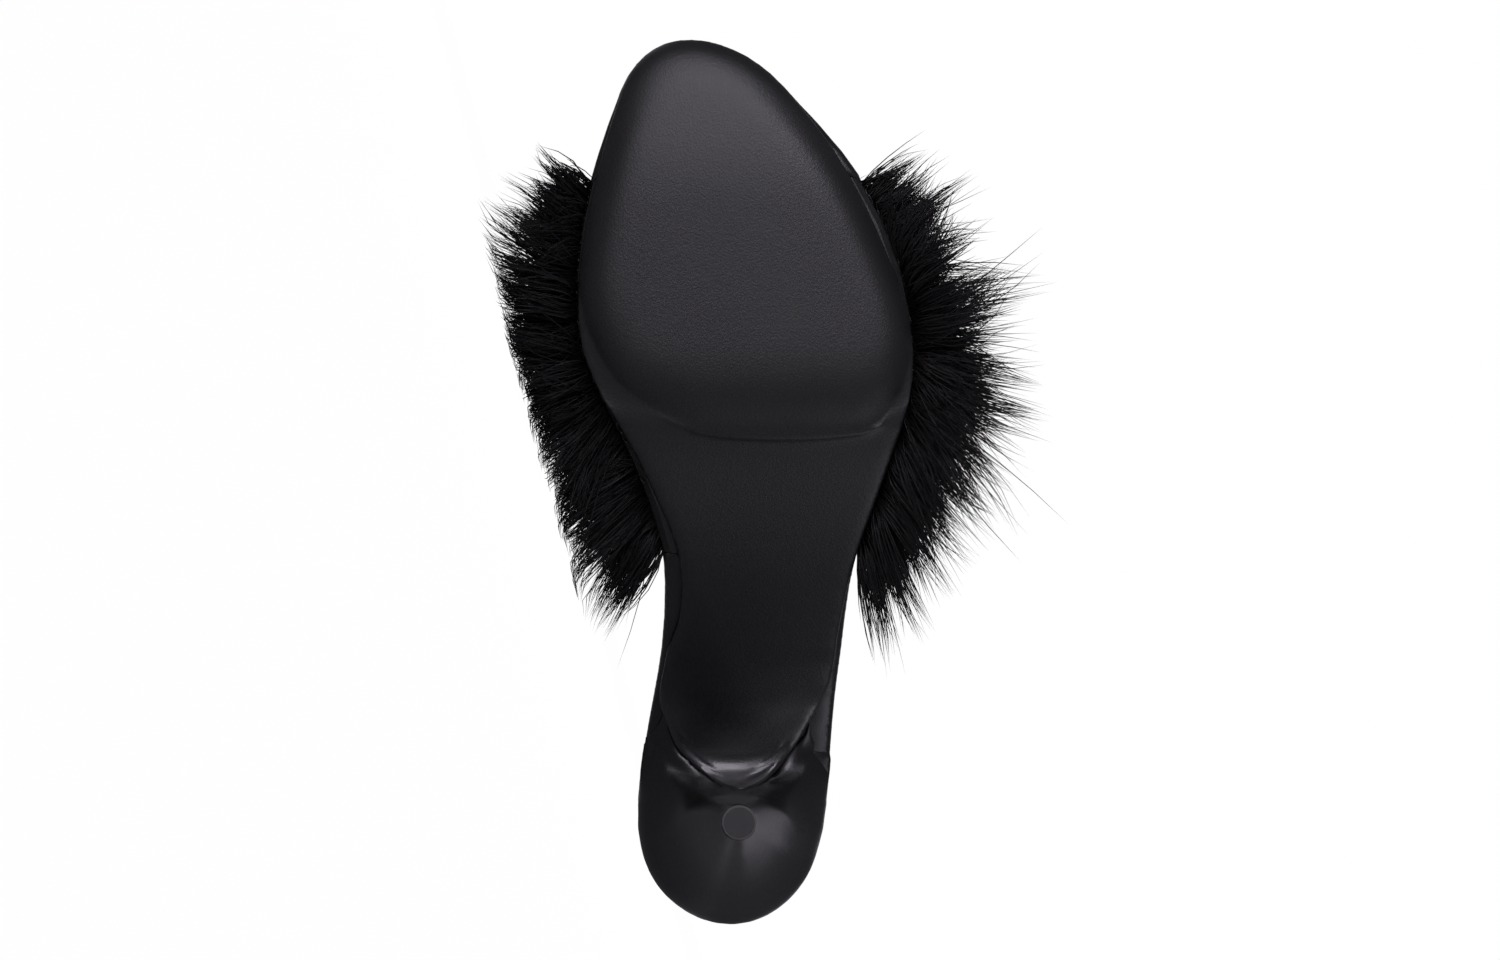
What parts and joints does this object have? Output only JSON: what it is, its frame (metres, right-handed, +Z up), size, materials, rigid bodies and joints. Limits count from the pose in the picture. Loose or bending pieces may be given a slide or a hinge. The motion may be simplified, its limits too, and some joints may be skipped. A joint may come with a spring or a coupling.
{
  "type": "marabou slipper",
  "caption": "Left open-toe mule on a stiletto heel, its vamp covered in black marabou down, lying on its inner side with its sole shown.",
  "frame": {"origin": "centre of the part's box in X and Y, on the floor that the shoe lies on", "axes": "-X to the toe, -Y the way the sole faces, +Z up; the inner side of the foot is down, and the toe end is raised 15 degrees"},
  "size_m": [0.2132, 0.0982, 0.1275],
  "materials": {
    "sole_leather": "satin, fine grain",
    "footbed_leather": "smooth satin",
    "sock_leather": "smooth matte lining",
    "heel_leather": "smooth gloss",
    "tip_rubber": "matte",
    "vamp_leather": "smooth matte",
    "marabou": "loose down, soft sheen"
  },
  "bodies": {
    "root": {"outsole": "sole_leather", "footbed": "footbed_leather", "insole_sock": "sock_leather", "heel": "heel_leather", "heel_tip": "tip_rubber", "vamp_band": "vamp_leather", "marabou_trim": "marabou"}
  },
  "joints": []
}
